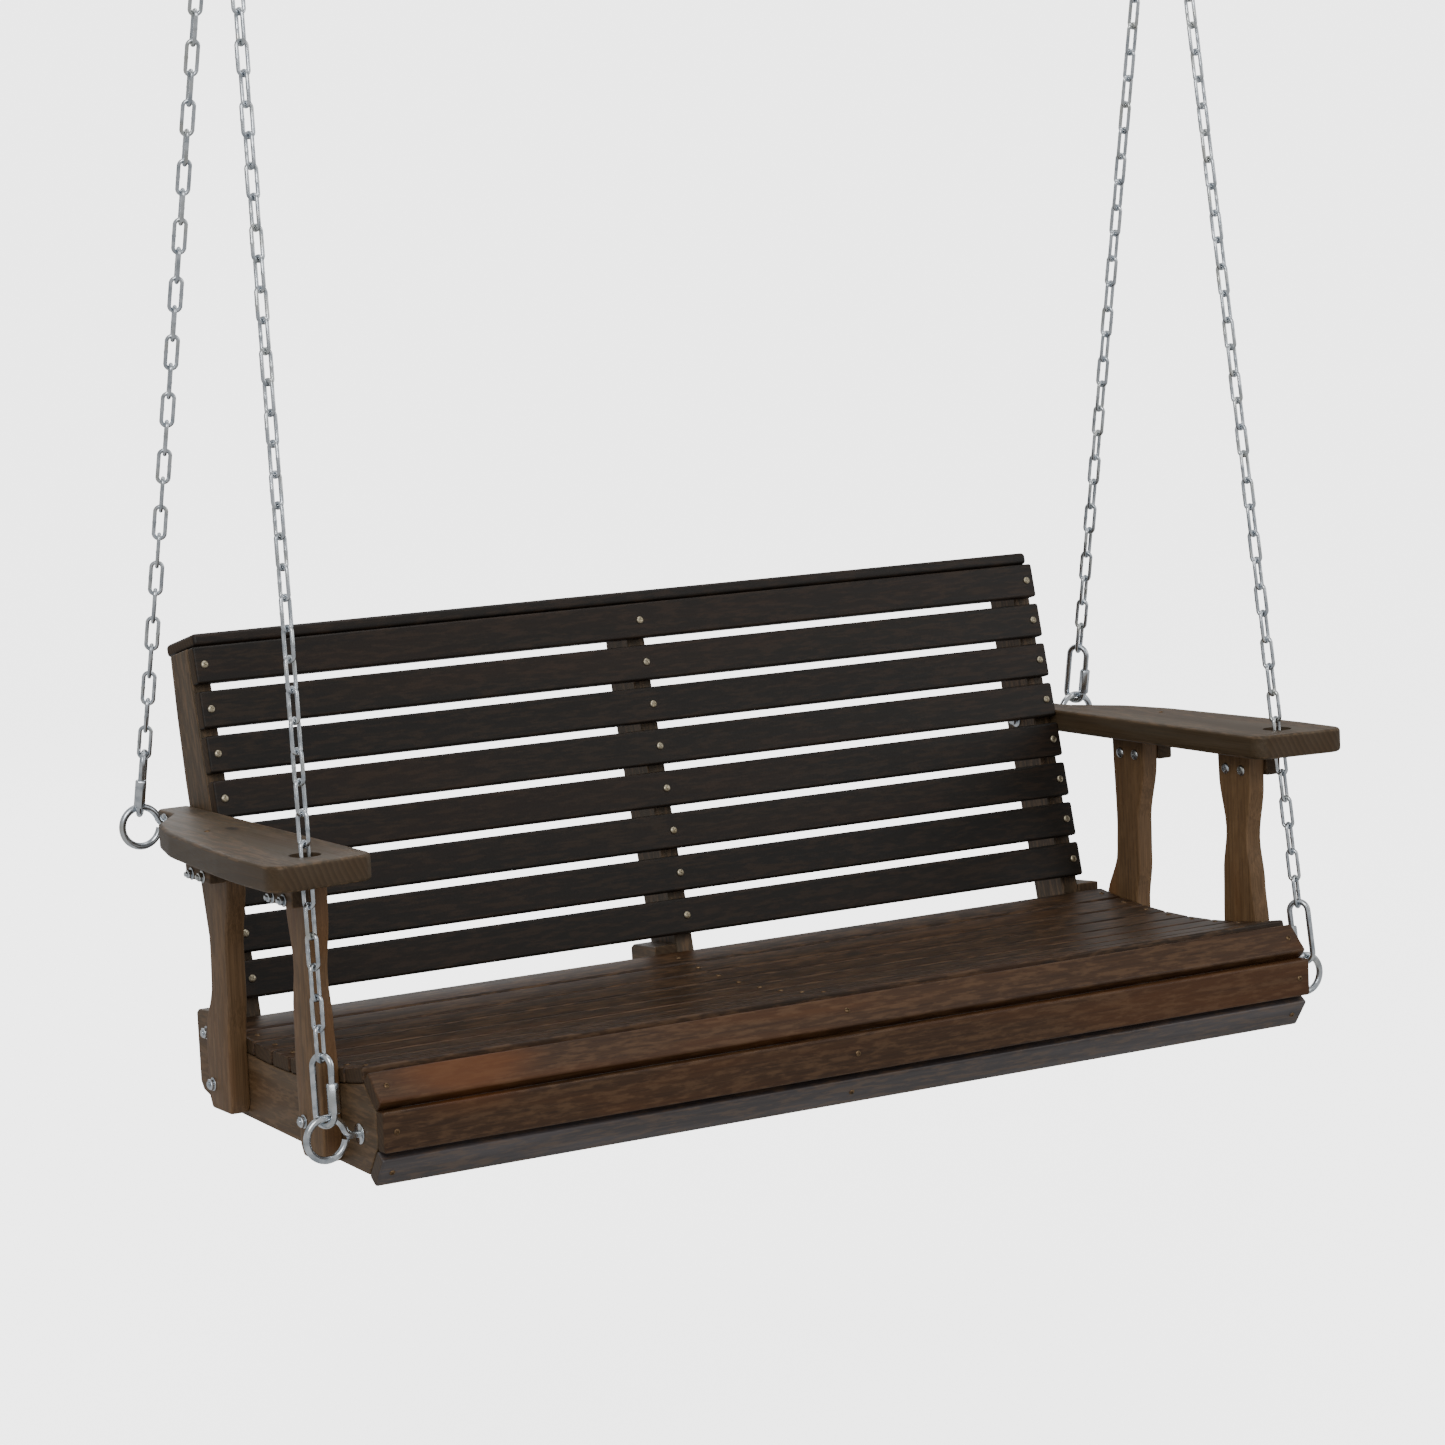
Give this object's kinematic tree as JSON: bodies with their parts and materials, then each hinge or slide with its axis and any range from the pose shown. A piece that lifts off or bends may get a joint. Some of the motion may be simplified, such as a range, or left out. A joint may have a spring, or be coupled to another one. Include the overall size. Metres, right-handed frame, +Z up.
{
  "type": "porch swing",
  "caption": "Slatted timber porch bench with curved seat, high back and paddle arm rests, hung on steel link chains from ceiling hangers so that it swings.",
  "frame": {"origin": "on the ceiling plane, midway between the two hanger plates", "axes": "+X along the bench to its right end as seen from the front, -Y to the front of the bench, +Z up"},
  "size_m": [1.482, 0.657, 1.6997],
  "materials": {
    "back_wood": "dark walnut stain, weathered matt",
    "frame_wood": "dark stain, worn greyish brown",
    "seat_wood": "dark walnut stain, rubbed on the edges",
    "arm_wood": "weathered greyish brown stain",
    "support_wood": "red-brown stain",
    "screw_metal": "yellow passivated, dulled",
    "chain_metal": "bright zinc plate",
    "hanger_metal": "dull zinc plate"
  },
  "bodies": {
    "hangers": {"hanger_left": "hanger_metal", "hanger_right": "hanger_metal", "hanger_pins": "hanger_metal"},
    "yoke": {"swing_eye_left": "hanger_metal", "swing_eye_right": "hanger_metal", "join_ring_left": "chain_metal", "join_ring_right": "chain_metal"},
    "chain_rear_left": {"chain_rear_left": "chain_metal", "quick_rear_left": "chain_metal"},
    "chain_rear_right": {"chain_rear_right": "chain_metal", "quick_rear_right": "chain_metal"},
    "chain_front_left": {"chain_front_left": "chain_metal", "quick_front_left": "chain_metal"},
    "chain_front_right": {"chain_front_right": "chain_metal", "quick_front_right": "chain_metal"},
    "sleeve_rear_left": {"sleeve_rear_left": "chain_metal"},
    "sleeve_rear_right": {"sleeve_rear_right": "chain_metal"},
    "sleeve_front_left": {"sleeve_front_left": "chain_metal"},
    "sleeve_front_right": {"sleeve_front_right": "chain_metal"},
    "bench": {"eye_front_left": "chain_metal", "eye_front_right": "chain_metal", "eye_rear_left": "chain_metal", "eye_rear_right": "chain_metal", "stile_left": "frame_wood", "stile_centre": "frame_wood", "stile_right": "frame_wood", "sill_left": "frame_wood", "sill_centre": "frame_wood", "sill_right": "frame_wood", "back_slat_1": "back_wood", "back_slat_2": "back_wood", "back_slat_3": "back_wood", "back_slat_4": "back_wood", "back_slat_5": "back_wood", "back_slat_6": "back_wood", "back_slat_7": "back_wood", "back_slat_8": "back_wood", "cap_rail": "back_wood", "seat_slat_1": "seat_wood", "seat_slat_2": "seat_wood", "seat_slat_3": "seat_wood", "seat_slat_4": "seat_wood", "seat_slat_5": "seat_wood", "seat_slat_6": "seat_wood", "seat_slat_7": "seat_wood", "seat_slat_8": "seat_wood", "front_slat_top": "seat_wood", "front_slat_middle": "seat_wood", "front_slat_bottom": "seat_wood", "arm_left": "arm_wood", "arm_right": "arm_wood", "support_front_left": "support_wood", "support_front_right": "support_wood", "support_rear_left": "support_wood", "support_rear_right": "support_wood", "cleats": "frame_wood", "wood_screws": "screw_metal", "carriage_bolts": "chain_metal", "frame_bolts": "chain_metal"}
  },
  "joints": [
    {"name": "swing_fore_aft", "type": "hinge", "parent": "hangers", "child": "yoke", "pos_m": [0, 0, -0.032], "axis": [1, 0, 0], "range_deg": [-30, 30]},
    {"name": "sway_rear_left", "type": "hinge", "parent": "yoke", "child": "chain_rear_left", "pos_m": [-0.64, 0.0047, -0.12307], "axis": [0, 1, 0], "range_deg": [-1.5, 1.5]},
    {"name": "sway_rear_right", "type": "hinge", "parent": "yoke", "child": "chain_rear_right", "pos_m": [0.64, 0.0047, -0.12307], "axis": [0, 1, 0], "range_deg": [-1.5, 1.5]},
    {"name": "sway_front_left", "type": "hinge", "parent": "yoke", "child": "chain_front_left", "pos_m": [-0.64, -0.00455, -0.1231], "axis": [0, 1, 0], "range_deg": [-1.26, 1.26]},
    {"name": "sway_front_right", "type": "hinge", "parent": "yoke", "child": "chain_front_right", "pos_m": [0.64, -0.00455, -0.1231], "axis": [0, 1, 0], "range_deg": [-1.26, 1.26]},
    {"name": "bench_sway", "type": "hinge", "parent": "chain_rear_left", "child": "bench", "pos_m": [-0.684, 0.2295, -1.37707], "axis": [0, 1, 0], "range_deg": [-1.41, 1.41]},
    {"name": "open_rear_left", "type": "slide", "parent": "chain_rear_left", "child": "sleeve_rear_left", "axis": [0.0345, -0.1808, 0.9829], "range_m": [0, 0.014]},
    {"name": "open_rear_right", "type": "slide", "parent": "chain_rear_right", "child": "sleeve_rear_right", "axis": [-0.0345, -0.1808, 0.9829], "range_m": [0, 0.014]},
    {"name": "open_front_left", "type": "slide", "parent": "chain_front_left", "child": "sleeve_front_left", "axis": [0.0279, 0.1749, 0.9842], "range_m": [0, 0.014]},
    {"name": "open_front_right", "type": "slide", "parent": "chain_front_right", "child": "sleeve_front_right", "axis": [-0.0279, 0.1749, 0.9842], "range_m": [0, 0.014]}
  ],
  "couplings": [
    {"joint": "sway_rear_right", "follows": "sway_rear_left", "ratio": 1},
    {"joint": "sway_front_left", "follows": "sway_rear_left", "ratio": 0.83768},
    {"joint": "sway_front_right", "follows": "sway_rear_left", "ratio": 0.83768},
    {"joint": "bench_sway", "follows": "sway_rear_left", "ratio": -0.93567}
  ]
}
